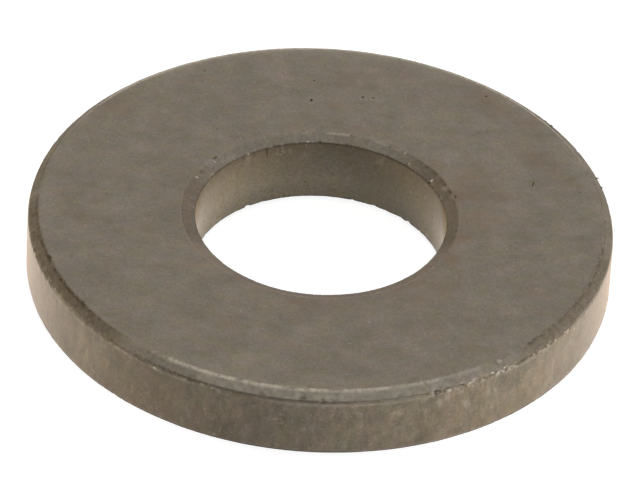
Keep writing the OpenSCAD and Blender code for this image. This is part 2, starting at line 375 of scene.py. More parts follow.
# Textures, each as (stretch, cells a millimetre, detail, roughness)
EVEN = (1, 1, 1)
HUE_TEXTURE = ((0.9, 1.1, 0.6), 0.8, 6, 0.75)
CLOUD_TEXTURE = ((0.87, 1.13, 0.55), 0.4, 7, 0.85)
GRAIN_TEXTURE = (EVEN, 4.5, 4, 0.8)
PATCH_TEXTURE = ((1, 1, 0.6), 1.6, 3, 0.6)
YELLOW_TEXTURE = ((0.9, 1.1, 0.6), 0.9, 6, 0.8)
STAIN_TEXTURE = (EVEN, 1.3, 4, 0.7)
BLOTCH_TEXTURE = (EVEN, 1.1, 4, 0.7)
LIGHT_SPECK_TEXTURE = (EVEN, 5.1, 1, 0.5)
DARK_SPECK_TEXTURE = (EVEN, 3.7, 1, 0.5)
DENT_TEXTURE = (EVEN, 2.2, 2, 0.5)

# Mottling, each as (texture, the part of its range that counts, then the least and most brightness
# that it gives to the ground face and bevels, to the outer wall and to the bore)
MOTTLING = [(PATCH_TEXTURE, (0.35, 0.65), (1, 1), (0.84, 1.16), (0.97, 1.03)),
            (GRAIN_TEXTURE, (0.25, 0.75), (0.72, 1.28), (0.72, 1.28), (0.64, 1.36)),
            (CLOUD_TEXTURE, (0.3, 0.7), (0.75, 1.25), (0.66, 1.34), (0.91, 1.09))]
# Ranges of the other textures, each as (low, high, what low gives, what high gives)
HUE_RANGE = (0.35, 0.65, 0, 1)
YELLOW_RANGE = (0.3, 0.7, 0.82, 1.18)
STAIN_RANGE = (0.38, 0.62, 0.35, 1)
LIGHT_SPECK_RANGE = (0.71, 0.79, 0, 0.4)
DARK_SPECK_RANGE = (0.29, 0.21, 0, 0.5)
# The walls' blotches: the part of their range that counts, and their strength
BLOTCH_RANGE = (0.6, 0.72)
BLOTCH_TONE = 0.25

# Roughness and mirror shine of the ground face, the bevels, the walls, and dirt with painted shade
ROUGHNESS = (0.32, 0.5, 0.3, 0.8)
SHINE = (0.25, 0.12, 0.0, 0.05)
IOR = 1.8
SPECULAR_TINT = (1.0, 0.74, 0.46, 1)
# Warm glow of the fine powdery skin on the walls, seen at a low angle, and its share in the bore
SHEEN_ROUGHNESS = 0.32
SHEEN_TINT = (1.0, 0.66, 0.38, 1)
BORE_SHEEN = 0.35
# Gleam of the burnished walls, and its share in the bore
COAT_ROUGHNESS = 0.15
COAT_IOR = 1.4
BORE_COAT = 0.75
# Share of the glow and the gleam that dirt and painted shade leave
DARKENED_SHARE = 0.1
BUMP_STRENGTH = 0.5
BUMP_DISTANCE = 0.02 * MM

# ---- light, floor and camera
# Each lamp as (name, bearing, elevation, distance, width, power, colour); distances in metres and
# power in watts. The two side lamps are a little warm.
PLAIN = (1, 1, 1)
LAMPS = [("left_softbox", 172, 8, 0.5, 0.3, 3.4, (1, 0.85, 0.62)),
         ("right_softbox", 0, 8, 0.5, 0.3, 3.8, (1, 0.88, 0.75)),
         ("front_right_softbox", 315, 8, 0.5, 0.3, 1.2, PLAIN),
         ("back_softbox", 90, 12, 0.5, 0.3, 0.27, PLAIN),
         ("high_front_softbox", 275, 70, 0.5, 0.2, 0.675, PLAIN),
         ("high_back_softbox", 97, 68, 0.5, 0.2, 0.55, PLAIN)]
WORLD_STRENGTH = 0.02

# The floor lies a hair under the ring, so that the two don't share a plane. Light bounces off its
# paper. The camera sees its glow, and the ring's shadow in the shaded part that is added to it.
FLOOR_HALF = 2.0
FLOOR_HEIGHT = -0.01 * MM
FLOOR_PAPER = 0.85
FLOOR_GLOW = 0.905
FLOOR_SHADED = 0.3

# The camera's place, in degrees and metres, and its lens and sensor, in millimetres
CAMERA_ELEVATION = 37.2
CAMERA_ROLL = 3.27
CAMERA_DISTANCE = 0.5441
CAMERA_TARGET = (0.000024, 0.004524, 0)
CAMERA_LENS = 393.75
CAMERA_SENSOR = 36


# ---- undisturbed surface
def polar(bearing, radius, height):
    """Points at a bearing in degrees, as an array of x, y, z."""
    turn = np.radians(bearing)
    return np.stack(np.broadcast_arrays(radius * np.cos(turn), radius * np.sin(turn), height), -1)


def half_section(wall_radius, side, bevel, foot, rows):
    """Section from a flat face over its worn corner and bevel to the middle of the wall.

    Points are (radius, fall from the face). side is 1 for the outer wall and -1 for the bore.
    """
    leads, corner_steps, bevel_steps, wall_falls = rows
    width, height = bevel
    slope = math.atan2(height, width)
    setback = CORNER_RADIUS * math.tan(slope / 2)
    corner = wall_radius - side * (width + setback)
    points = [(corner - side * lead, 0.0) for lead in leads]
    for step in range(corner_steps + 1):
        turn = slope * step / corner_steps
        points.append((corner + side * CORNER_RADIUS * math.sin(turn), CORNER_RADIUS * (1 - math.cos(turn))))
    foot_depth, foot_fall = foot[0]
    start = np.array(points[-1])
    end = np.array((wall_radius - side * foot_depth, foot_fall))
    shares = [(step / bevel_steps) ** BEVEL_CROWDING for step in range(1, bevel_steps)]
    points += [tuple(start + (end - start) * share) for share in shares]
    points += [(wall_radius - side * depth, fall) for depth, fall in foot]
    points += [(wall_radius, fall) for fall in wall_falls]
    return points


def whole_section(upper, lower):
    """Joins an upper and a lower half section, and turns falls into heights."""
    top = [(radius, THICKNESS - fall) for radius, fall in upper]
    bottom = [(radius, fall) for radius, fall in reversed(lower)]
    return np.array(top + bottom)


def lathe(section, side, steps, first):
    """Turns a section into rows of points with outward normals, and the quads that join the rows."""
    bearings = np.arange(steps) * 360 / steps
    radius, height = section.T
    tangent = np.gradient(section, axis=0)
    tangent /= np.linalg.norm(tangent, axis=1, keepdims=True)
    points = polar(bearings[None, :], radius[:, None], height[:, None]).reshape(-1, 3)
    normals = polar(bearings[None, :], -side * tangent[:, 1:], side * tangent[:, :1]).reshape(-1, 3)
    row = np.arange(len(section) - 1)[:, None] * steps
    here = np.arange(steps)[None, :]
    ahead = (here + 1) % steps
    corners = [row + here, row + steps + here, row + steps + ahead, row + ahead]
    quads = np.stack(corners[::side], -1).reshape(-1, 4) + first
    return points, normals, quads


def flat_rings(inner, outer, spacings):
    """Points over a flat face between two radii, closer together near its rims."""
    finest, coarsest = spacings
    points = []
    radius = inner + finest
    while radius < outer - finest / 2:
        gap = min(radius - inner, outer - radius)
        spacing = min(coarsest, max(finest, SPACING_GROWTH * gap))
        count = round(2 * math.pi * radius / spacing)
        bearings = radius * RING_TWIST + np.arange(count) * 360 / count
        points.append(polar(bearings, radius, 0)[:, :2])
        radius += spacing
    return np.concatenate(points)


def pit_rings(pits):
    """Fine points round each pit in a face."""
    points = []
    for bearing, radius, width, _, _, stretch, heading in pits:
        centre = polar(bearing, radius, 0)[:2]
        along = polar(heading, 1.0, 0)[:2]
        points.append(centre[None, :])
        for share, count in PIT_RINGS:
            bearings = np.arange(count) * 360 / count + share * PIT_TWIST
            ring = polar(bearings, share * width / 2, 0)[:, :2]
            points.append(centre + ring + np.outer(ring @ along, along) * (stretch - 1))
    return np.concatenate(points)


def fill_face(points, outer_ring, bore_ring, extra, up):
    """Triangles between two rings of the points, using extra flat points that will follow them.

    up is 1 for the upper face and -1 for the lower one.
    """
    rings = np.concatenate([outer_ring, bore_ring])
    flat = np.concatenate([points[rings][:, :2], extra])
    edges = []
    for start, count in ((0, len(outer_ring)), (len(outer_ring), len(bore_ring))):
        edges += [(start + i, start + (i + 1) % count) for i in range(count)]
    result = delaunay_2d_cdt([Vector(p) for p in flat], edges, [], 0, TRIANGLE_TOLERANCE, True)
    triangles, sources = result[2], result[3]
    source = np.array([s[0] for s in sources])
    corners = source[np.array(triangles)]
    in_bore = (corners >= len(outer_ring)).all(1) & (corners < len(rings)).all(1)
    corners = corners[~in_bore]
    a, b, c = flat[corners[:, 0]], flat[corners[:, 1]], flat[corners[:, 2]]
    turn = (b - a)[:, 0] * (c - a)[:, 1] - (b - a)[:, 1] * (c - a)[:, 0]
    corners[turn * up < 0] = corners[turn * up < 0][:, ::-1]
    names = np.concatenate([rings, len(points) + np.arange(len(extra))])
    return names[corners]


def ring_sections():
    """Whole sections of the outer wall and of the bore."""
    outer_upper = half_section(OUTER_RADIUS, 1, OUTER_BEVEL, PRESSING_LINE, OUTER_UPPER_ROWS)
    outer_lower = half_section(OUTER_RADIUS, 1, OUTER_BEVEL, LOWER_PRESSING_LINE, OUTER_LOWER_ROWS)
    bore_upper = half_section(BORE_RADIUS, -1, BORE_BEVEL, BORE_FOOT, BORE_UPPER_ROWS)
    bore_lower = half_section(BORE_RADIUS, -1, BORE_BEVEL, BORE_FOOT, BORE_LOWER_ROWS)
    return whole_section(outer_upper, outer_lower), whole_section(bore_upper, bore_lower)


def undisturbed_ring():
    """Points, outward normals and faces of the whole ring, before any damage."""
    outer_section, bore_section = ring_sections()
    outer_points, outer_normals, outer_quads = lathe(outer_section, 1, OUTER_STEPS, 0)
    bore_first = len(outer_points)
    bore_points, bore_normals, bore_quads = lathe(bore_section, -1, BORE_STEPS, bore_first)
    points = np.concatenate([outer_points, bore_points])
    normals = np.concatenate([outer_normals, bore_normals])
    faces = outer_quads.tolist() + bore_quads.tolist()
    # Each flat face as (way up, height, first points of its outer and bore rings, spacings, pits)
    flats = ((1, THICKNESS, 0, bore_first, UPPER_SPACING, FACE_PITS),
             (-1, 0, bore_first - OUTER_STEPS, len(points) - BORE_STEPS, LOWER_SPACING, []))
    for up, height, outer_first, inner_first, spacings, pits in flats:
        inner = np.hypot(*points[inner_first][:2])
        outer = np.hypot(*points[outer_first][:2])
        extra = flat_rings(inner, outer, spacings)
        if pits:
            extra = np.concatenate([extra, pit_rings(pits)])
        outer_ring = outer_first + np.arange(OUTER_STEPS)
        bore_ring = inner_first + np.arange(BORE_STEPS)
        faces += fill_face(points, outer_ring, bore_ring, extra, up).tolist()
        points = np.concatenate([points, np.column_stack([extra, np.full(len(extra), height)])])
        normals = np.concatenate([normals, np.tile((0, 0, up), (len(extra), 1))])
    return points, normals, faces


# ---- places on the surface
def window(bearing, centre, reach):
    """1 round about a bearing, falling smoothly to 0 at reach degrees away from it."""
    away = np.abs((bearing - centre + 180) % 360 - 180) / reach
    rise = np.clip(2.5 * (1 - away), 0, 1)
    return rise * rise * (3 - 2 * rise)


def windows(bearing, stretches):
    """The highest of several windows, each as (bearing, reach, strength)."""
    return np.max([strength * window(bearing, *place) for *place, strength in stretches], axis=0)


def line(distance, centre, half_width):
    """1 on a line, falling smoothly to 0 at half_width millimetres from it."""
    away = np.abs(distance - centre) / half_width
    return np.where(away < 1, (1 - np.minimum(away, 1) ** 2) ** 2, 0.0)


def edge_line(distance, shape, waves=0):
    """A line of the shape (distance past the edge, waviness, half width)."""
    centre, waviness, half_width = shape
    return line(distance, centre + waviness * waves, half_width)


def ramp(distance, start, width):
    """0 before start, rising to 1 over width."""
    return np.clip((distance - start) / width, 0, 1)


def past_border(distance):
    """0 on the ground face, rising to 1 over the border that lies across its rim."""
    return np.clip(distance / FACE_BORDER + 0.5, 0, 1)


def noisy(recipe, *noises):
    """A level with noises added, as the recipe (level, weight of each noise) says."""
    level, *weights = recipe
    for weight, values in zip(weights, noises):
        level = level + weight * values
    return level


def broken(recipe, *noises):
    """A noisy level, kept from 0 to 1."""
    return np.clip(noisy(recipe, *noises), 0, 1)


def ring_noise(recipe, bearing, across):
    """Smooth noise from -1 to 1 that closes on itself round the ring. across is in millimetres."""
    seed, cells_round, cell_across = recipe
    grid = np.random.default_rng(seed).uniform(-1, 1, (cells_round, NOISE_ROWS))
    along = bearing / 360 * cells_round
    up = across / cell_across
    left = np.floor(along).astype(int)
    low = np.floor(up).astype(int)
    s = along - left
    t = up - low
    s = s * s * (3 - 2 * s)
    t = t * t * (3 - 2 * t)
    left %= cells_round
    low %= NOISE_ROWS
    right = (left + 1) % cells_round
    high = (low + 1) % NOISE_ROWS
    lower = grid[left, low] * (1 - s) + grid[right, low] * s
    upper = grid[left, high] * (1 - s) + grid[right, high] * s
    return lower * (1 - t) + upper * t


def blots(points, places):
    """Soft oval patches, each as (x, y, length, width, heading, strength)."""
    cover = np.zeros(len(points))
    for x, y, length, width, heading, strength in places:
        turn = math.radians(heading)
        along = (points[:, 0] - x) * math.cos(turn) + (points[:, 1] - y) * math.sin(turn)
        sideways = (points[:, 1] - y) * math.cos(turn) - (points[:, 0] - x) * math.sin(turn)
        away = np.hypot(along / length, sideways / width)
        cover = np.maximum(cover, strength * np.exp(-2 * away ** 2))
    return cover


def bevel_distance(radius, fall, rim, side, bevel):
    """Distance in millimetres down the surface from a face's rim, negative on the face itself."""
    past = side * (radius - rim)
    width, height = bevel
    length = math.hypot(width, height)
    on_bevel = np.hypot(past, fall)
    return np.where(past <= 0, past, np.where(fall <= height, on_bevel, length + fall - height))


def on_slope(down, past_foot):
    """1 on a bevel, given distances down the surface from its rim and from its foot."""
    return ramp(down, 0, BEVEL_BORDER) * ramp(-past_foot, -BEVEL_BORDER, BEVEL_BORDER)


class Survey:
    """What lies at each point of the undisturbed ring: its place, and smooth noises over the surface.

    outward and inward are distances down the surface from the outer rim and from the bore's rim.
    """

    def __init__(self, points):
        self.points = points
        self.radius = np.hypot(points[:, 0], points[:, 1])
        self.bearing = np.degrees(np.arctan2(points[:, 1], points[:, 0])) % 360
        height = points[:, 2]
        self.upper = height > THICKNESS / 2
        self.on_face = height > THICKNESS - FACE_TOLERANCE
        self.outer_half = self.radius > MIDDLE_RADIUS
        fall = np.where(self.upper, THICKNESS - height, height)
        self.outward = bevel_distance(self.radius, fall, OUTER_RIM_EDGE[0], 1, OUTER_BEVEL)
        self.inward = bevel_distance(self.radius, fall, BORE_RIM_EDGE[0], -1, BORE_BEVEL)
        self.past_foot = self.outward - OUTER_BEVEL_LENGTH
        self.past_bore_foot = self.inward - BORE_BEVEL_LENGTH
        self.wall = np.maximum(ramp(self.past_foot, *WALL_START), ramp(self.past_bore_foot, *BORE_WALL_START))
        self.on_bevel = on_slope(self.outward, self.past_foot)
        self.on_bore_bevel = on_slope(self.inward, self.past_bore_foot)
        self.add_noises()
        self.crumbled = self.along(CRUMBLED) * edge_line(self.past_foot, CRUMBLE_LINE)

    def add_noises(self):
        """Adds smooth noises of different sizes."""
        across = np.where(self.outer_half, self.outward, self.inward)
        self.coarse = ring_noise(COARSE_NOISE, self.bearing, self.outward)
        self.streaks = ring_noise(STREAK_NOISE, self.bearing, self.outward)
        self.fine = ring_noise(FINE_NOISE, self.bearing, across)
        self.clumps = ring_noise(CLUMP_NOISE, self.bearing, across)
        self.grains = ring_noise(GRAIN_NOISE, self.bearing, across)
        self.shreds = ring_noise(SHRED_NOISE, self.bearing, across)

    def along(self, stretches):
        """Strength of some stretches at each point, in the upper half only."""
        return windows(self.bearing, stretches) * self.upper

# ---- damage
def uneven(points, normals, at):
    """The points moved in for pressed unevenness, drag marks up the walls, and worn and crumbled edges."""
    pressed = past_border(np.maximum(at.outward, at.inward))
    amount = pressed * noisy(PRESSED_WEAR, at.coarse) + at.wall * DRAG_MARKS * at.streaks
    rims = np.maximum(edge_line(at.outward, RIM_WEAR_LINE), edge_line(at.inward, RIM_WEAR_LINE))
    feet = np.maximum(edge_line(at.past_foot, FOOT_WEAR_LINE),
                      edge_line(at.past_bore_foot, BORE_FOOT_WEAR_LINE))
    amount += rims * noisy(RIM_WEAR, at.fine, at.clumps)
    amount += feet * noisy(FOOT_WEAR, at.fine, at.clumps)
    amount += at.crumbled * noisy(CRUMBLE_WEAR, at.grains, at.clumps)
    return points - normals * np.maximum(amount, 0)[:, None]


def widen_bore_bevel(moved, at):
    """Draws the bore's rim outward where its bevel reaches further out."""
    down_bevel = 1 - at.inward / BORE_BEVEL_LENGTH
    over_face = 1 + at.inward / WIDENING_FADE
    share = np.clip(np.where(at.inward > 0, down_bevel, over_face), 0, 1)
    slide = WIDENING * at.along(WIDE_BORE_BEVEL) * share
    moved[:, :2] *= (1 + slide / at.radius)[:, None]


def mark(marks, name, chosen, values):
    """Raises a kind of mark to the values at the chosen points."""
    marks[name][chosen] = np.maximum(marks[name][chosen], values)


def mark_flake(marks, chosen, share, tone):
    """Marks a flake's points pale or dark, by how deep each has gone as a share of the flake's depth."""
    if tone > 0:
        gain, loss = PALE_CORE
        core = np.clip(gain * share - loss, 0, 1)
        mark(marks, "pale", chosen, tone * core)
        mark(marks, "dark", chosen, SURROUND_TONE * np.clip(SURROUND_GAIN * share, 0, 1) * (1 - core))
    else:
        mark(marks, "dark", chosen, -tone * np.clip(DARK_GAIN * share, 0, 1))


def break_flake(points, marks, rng, bearing, edge, length, depth, tone, stretch=1.0, heading=None):
    """Breaks a shell-shaped flake out of the surface by pushing points off a ball that dips into it.

    stretch draws the flake out along its heading, which is along the edge if it isn't given.
    """
    radius, height, lean = edge
    ball = (length * length / 4 + depth * depth) / (2 * depth)
    standoff = ball - depth
    tilt = math.radians(lean)
    centre = polar(bearing, radius + standoff * math.cos(tilt), height + standoff * math.sin(tilt))
    along = polar(bearing + 90 if heading is None else heading, 1.0, 0.0)
    near = np.flatnonzero(np.abs(points - centre).max(1) < ball * FLAKE_SEARCH * stretch)
    if not len(near):
        return
    offset = points[near] - centre
    offset -= np.outer(offset @ along, along) * (1 - 1 / stretch)
    distance = np.linalg.norm(offset, axis=1)
    offset /= distance[:, None]
    waves = rng.normal(0, 1, (FLAKE_WAVES, 3)) * FLAKE_WAVINESS / length
    phases = rng.uniform(0, 2 * math.pi, FLAKE_WAVES)
    ragged = np.sin(offset @ waves.T * ball + phases).sum(1) / 2
    skin = ball + depth * FLAKE_RAGGEDNESS * ragged
    inside = distance < skin
    push = (skin - distance)[inside]
    move = offset[inside] * push[:, None]
    move += np.outer(move @ along, along) * (stretch - 1)
    points[near[inside]] += move
    mark_flake(marks, near[inside], push / depth, tone)


def scatter_flakes(points, marks, seed, count, stretches, lengths, edge, tones):
    """Breaks small flakes out of an edge at random, more of them where the stretches say so."""
    rng = np.random.default_rng(seed)
    radius, height, lean = edge
    made = 0
    while made < count:
        bearing = rng.uniform(0, 360)
        if rng.uniform() > windows(bearing, stretches):
            continue
        length = rng.uniform(*lengths)
        depth = length * rng.uniform(*SCATTERED_DEPTHS)
        place = (radius + rng.normal(0, SCATTERED_STRAY), height, lean + rng.normal(0, SCATTERED_LEAN))
        tone = rng.uniform(*tones)
        stretch = rng.uniform(*SCATTERED_STRETCHES)
        break_flake(points, marks, rng, bearing, place, length, depth, tone, stretch)
        made += 1


def break_edges(moved, marks):
    """Breaks out the placed chips, the scattered flakes and the face's pits, in that order."""
    rng = np.random.default_rng(CHIP_SEED)
    for chips, edge in CHIPPED_EDGES:
        for bearing, length, depth, tone in chips:
            break_flake(moved, marks, rng, bearing, edge, length, depth, tone)
    for group in SCATTERED_FLAKES:
        scatter_flakes(moved, marks, *group)
    for bearing, radius, width, depth, tone, stretch, heading in FACE_PITS:
        place = (radius, THICKNESS, FACE_LEAN)
        break_flake(moved, marks, rng, bearing, place, width, depth, tone, stretch, heading)


def surface_marks(moved, normals, marks, at, down, radius, places):
    """Makes small ragged marks, given by bearing and by distance down the surface from a rim."""
    for bearing, distance, length, width, depth, tone in places:
        along = ((at.bearing - bearing + 180) % 360 - 180) * math.radians(1) * radius
        away = np.hypot(along / (length / 2), (down - distance) / (width / 2))
        away -= MARK_RAGGEDNESS * at.shreds
        cover = np.clip(MARK_SHARPNESS * (MARK_END - away), 0, 1)
        moved -= normals * (depth * cover)[:, None]
        name = "pale" if tone > 0 else "dark"
        marks[name] = np.maximum(marks[name], abs(tone) * cover)


def add_grit(moved, normals, marks, at):
    """Raises small dark lumps along the outer edge."""
    for bearing, half_width, rise in GRIT:
        away = np.hypot((at.bearing - bearing) * math.radians(OUTER_RADIUS), at.past_foot)
        lump = rise * line(away, 0, half_width)
        moved += normals * lump[:, None]
        marks["dark"] = np.maximum(marks["dark"], GRIT_TONE * (lump > 0))


# ---- masks
def pressing_line_dust(at):
    """Dust in the pressing line."""
    reach = FOOT_DUST_REACH + FOOT_DIRT_REACH * windows(at.bearing, FOOT_DIRT)
    dust = line(at.past_foot, reach / 3 - FOOT_DUST_SETBACK, reach)
    dust *= broken(FOOT_DUST_BREAKS, at.clumps, at.shreds)
    dust *= 1 - CRUMBLED_DUST_LOSS * np.clip(2 * windows(at.bearing, CRUMBLED) - 1, 0, 1)
    dust *= 1 - windows(at.bearing, THIN_FOOT_DUST)
    return FOOT_DUST_TONE * dust


def painted_bore_shade(at):
    """Painted shade that darkens the top of the bore and fades out down it."""
    bore_shade = (BORE_SHADE_TONE + windows(at.bearing, DEEPER_BORE_SHADE)) * at.upper
    bore_shade *= at.past_bore_foot > 0
    return bore_shade * np.clip(1 - at.past_bore_foot / BORE_SHADE_REACH, 0, 1)


def bore_bevel_dirt(at, ragged):
    """Dirt along the rim, on the face and along the foot of the bore's bevel."""
    rim = at.along(BORE_RIM_DIRT) * edge_line(at.inward, BORE_RIM_DIRT_LINE, at.clumps)
    rim *= broken(BORE_RIM_BREAKS, at.clumps, at.fine)
    bevel_darkening = at.along(SOILED_BORE_BEVEL) * at.on_bore_bevel * noisy(BORE_SOIL_BREAKS, at.shreds)
    foot = at.along(BORE_FOOT_DIRT) * edge_line(at.past_bore_foot, BORE_FOOT_DIRT_LINE) * ragged
    return np.maximum.reduce([rim, bevel_darkening, foot])


def dark_mask(at, marks, ragged):
    """Dust, soil that is partly painted shade, loose dark grains, painted shade down the bore and on the
    front of the outer wall, and smudges on the face.
    """
    rim_dust = at.along(RIM_DUST) * edge_line(at.outward, RIM_DUST_LINE, at.clumps) * ragged
    # The outer bevel's soil is partly painted shade.
    bevel_darkening = at.along(SOILED_AND_SHADED_BEVEL) * at.on_bevel * broken(BEVEL_DARKENING_BREAKS, at.clumps, at.shreds)
    loose = GRAIN_TONE * at.crumbled * broken(LOOSE_GRAINS, at.grains, at.clumps)
    dark = np.maximum.reduce([marks["dark"], RIM_DUST_TONE * rim_dust, pressing_line_dust(at), bevel_darkening,
                              loose, bore_bevel_dirt(at, ragged)])
    outer_wall = at.wall * (at.outward > 0)
    # Painted shade on the front of the outer wall
    painted_wall_shade = windows(at.bearing, SHADED_FRONT_WALL) * outer_wall * broken(WALL_SHADE_BREAKS, at.coarse)
    dark = 1 - (1 - np.clip(dark, 0, 1)) * (1 - painted_bore_shade(at)) * (1 - painted_wall_shade)
    return np.maximum(dark, blots(at.points, SMUDGES) * at.on_face)


def worn_edges_and_highlights(at):
    """Worn edges with a painted highlight along them, on the outer rim, the bore's rim and the rear corner.
    """
    rim = at.along(WORN_RIM_HIGHLIGHT) * edge_line(at.outward, WORN_RIM_HIGHLIGHT_LINE, at.clumps)
    bore_rim = at.along(WORN_BORE_RIM_HIGHLIGHT) * edge_line(at.inward, WORN_BORE_RIM_HIGHLIGHT_LINE, at.clumps)
    back = windows(at.bearing, WIDE_REAR_CORNER_HIGHLIGHT)
    centre, half_width = [start + more * back for start, more in zip(REAR_CORNER_HIGHLIGHT_LINE, REAR_CORNER_HIGHLIGHT_GROWTH)]
    corner = at.along(REAR_CORNER_HIGHLIGHT) * line(at.outward, centre, half_width)
    return np.maximum.reduce([rim, bore_rim, corner]) * broken(WEAR_AND_HIGHLIGHT_BREAKS, at.shreds)


def pale_mask(at, marks, ragged):
    """Worn edges with painted highlights, fresh grains, painted light on the bevel, the rubbed ledge, and
    paler places on the face.
    """
    grains = GRAIN_TONE * at.crumbled * broken(BRIGHT_GRAINS, at.grains, at.clumps)
    painted_bevel_light = at.along(LIT_BEVEL) * at.on_bevel * broken(BEVEL_LIGHT_BREAKS, at.clumps)
    ledge = at.along(PALE_LEDGE) * edge_line(at.past_foot, LEDGE_LINE) * ragged
    face_rim = windows(at.bearing, PALE_FACE_RIM) * edge_line(at.outward, FACE_RIM_LINE)
    on_face = np.maximum(blots(at.points, PALER_PATCHES), FACE_RIM_TONE * face_rim) * at.on_face
    return np.maximum.reduce([marks["pale"], worn_edges_and_highlights(at), grains, painted_bevel_light, ledge, on_face])


def brown_mask(at):
    """Brown stains on the bore's bevel and on the face."""
    bevel = BROWN_TONE * windows(at.bearing, BROWN_BORE_BEVEL) * edge_line(at.inward, BROWN_LINE)
    return np.maximum(bevel, blots(at.points, STAINS) * at.on_face)


def finish_masks(at, marks):
    """The finish's masks, from where the points lie and from what the damage has marked."""
    ragged = broken(RAGGED, at.clumps, at.fine)
    waves = noisy(BORDER_WAVES, at.clumps, at.fine)
    values = (past_border(np.maximum(at.outward, at.inward) + waves), at.wall, at.wall * (at.inward > 0),
              dark_mask(at, marks, ragged), pale_mask(at, marks, ragged), brown_mask(at))
    return {name: np.clip(value, 0, 1) for name, value in zip(MASKS, values)}


# ---- the ring
def damaged_ring(points, normals):
    """Moves the points for unevenness, chips, pits, marks and grit. Returns them with the masks."""
    at = Survey(points)
    moved = uneven(points, normals, at)
    widen_bore_bevel(moved, at)
    marks = {"dark": np.zeros(len(points)), "pale": np.zeros(len(points))}
    break_edges(moved, marks)
    down_outside = np.where(at.upper & at.outer_half, at.outward, OUT_OF_REACH)
    down_inside = np.where(at.upper & ~at.outer_half, at.inward, OUT_OF_REACH)
    surface_marks(moved, normals, marks, at, down_outside, OUTER_RADIUS, OUTER_MARKS)
    surface_marks(moved, normals, marks, at, down_inside, BORE_RADIUS, BORE_MARKS)
    moved[:, 2] = np.clip(moved[:, 2], 0, THICKNESS)
    add_grit(moved, normals, marks, at)
    return moved, finish_masks(at, marks)


def placed(name, data):
    """A new object in the scene."""
    made = bpy.data.objects.new(name, data)
    bpy.context.scene.collection.objects.link(made)
    return made


def make_ring():
    """The ring as one mesh object in metres, with its masks as attributes."""
    points, normals, faces = undisturbed_ring()
    points, masks = damaged_ring(points, normals)
    mesh = bpy.data.meshes.new("ferrite_ring")
    mesh.from_pydata((points * MM).tolist(), [], faces)
    mesh.shade_smooth()
    for name, values in masks.items():
        attribute = mesh.attributes.new(name, "FLOAT", "POINT")
        attribute.data.foreach_set("value", values.astype(np.float32))
    return placed("ferrite_ring", mesh)


# ---- shader nodes
def feed(tree, node, inputs):
    """Sets a node's inputs to values, or links them to the sockets that feed them."""
    for socket, value in inputs.items():
        if isinstance(value, bpy.types.NodeSocket):
            tree.links.new(value, node.inputs[socket])
        else:
            node.inputs[socket].default_value = value


def add(tree, kind, inputs=None, **settings):
    """Adds a shader node, with its settings and with inputs as feed takes them."""
    made = tree.nodes.new("ShaderNode" + kind)
    for name, value in settings.items():
        setattr(made, name, value)
    feed(tree, made, inputs or {})
    return made


def texture(tree, position, recipe):
    """Noise from 0 to 1, as the recipe (stretch, cells a millimetre, detail, roughness) says."""
    stretch, scale, detail, roughness = recipe
    if stretch != EVEN:
        position = add(tree, "VectorMath", {0: position, 1: stretch}, operation="MULTIPLY").outputs[0]
    return add(tree, "TexNoise", {"Vector": position, "Scale": scale, "Detail": detail,
                                  "Roughness": roughness}).outputs["Fac"]


def remap(tree, value, low, high, to_low, to_high):
    """A value that goes from to_low to to_high as the input goes from low to high."""
    return add(tree, "MapRange", {"Value": value, "From Min": low, "From Max": high,
                                  "To Min": to_low, "To Max": to_high}).outputs["Result"]


def between(tree, factor, low, high):
    """A value that goes from low to high as the factor goes from 0 to 1."""
    return remap(tree, factor, 0, 1, low, high)


def join(tree, first, second, operation):
    """One value joined to another by a sum, a product or a maximum."""
    return add(tree, "Math", {0: first, 1: second}, operation=operation).outputs[0]


def product(tree, first, second):
    return join(tree, first, second, "MULTIPLY")


def blend(tree, factor, first, second, kind="MIX"):
    """Mixes two colours."""
    return add(tree, "Mix", {0: factor, 6: first, 7: second}, data_type="RGBA", blend_type=kind).outputs[2]


# ---- ferrite
def bare_colour(tree, position, masks):
    """The clean ferrite's colour on the ground face, the bevels, the outer wall and the bore, whose colour is
    painted lighter in place of light bounced into it.
    """
    hue = remap(tree, texture(tree, position, HUE_TEXTURE), *HUE_RANGE)
    surfaces = (GROUND, BEVELS, WALLS, LIT_BORE_WALLS)
    ground, bevels, walls, lit_bore_walls = [blend(tree, hue, *pair) for pair in surfaces]
    flats = blend(tree, masks["pressed"], ground, bevels)
    return blend(tree, masks["burnished"], flats, blend(tree, masks["bore"], walls, lit_bore_walls))


def mottled(tree, position, masks, colour):
    """The colour made lighter and darker, and yellower and bluer, in patches."""
    shade = 1
    for recipe, (low, high), *limits in MOTTLING:
        least, most = [between(tree, masks["bore"], between(tree, masks["burnished"], face, wall), bore)
                       for face, wall, bore in zip(*limits)]
        shade = product(tree, shade, remap(tree, texture(tree, position, recipe), low, high, least, most))
    yellow = remap(tree, texture(tree, position, YELLOW_TEXTURE), *YELLOW_RANGE)
    tint = add(tree, "CombineColor", {0: shade, 1: shade, 2: product(tree, shade, yellow)})
    return blend(tree, 1.0, colour, tint.outputs[0], "MULTIPLY")


def soiled(tree, position, masks, colour):
    """The colour under stains, dirt and painted shade, pale wear and painted highlights, blotches on the
    walls, and light and dark specks.
    """
    stains = product(tree, masks["brown"], remap(tree, texture(tree, position, STAIN_TEXTURE), *STAIN_RANGE))
    blotches = remap(tree, texture(tree, position, BLOTCH_TEXTURE), *BLOTCH_RANGE, 0,
                     between(tree, masks["burnished"], 0, BLOTCH_TONE))
    light_specks = remap(tree, texture(tree, position, LIGHT_SPECK_TEXTURE), *LIGHT_SPECK_RANGE)
    dark_specks = remap(tree, texture(tree, position, DARK_SPECK_TEXTURE), *DARK_SPECK_RANGE)
    layers = ((stains, BROWN), (masks["dark"], GRIME_AND_SHADE), (masks["pale"], PALE), (blotches, PALE),
              (light_specks, PALE), (dark_specks, GRIME_AND_SHADE))
    for cover, layer in layers:
        colour = blend(tree, cover, colour, layer)
    return colour


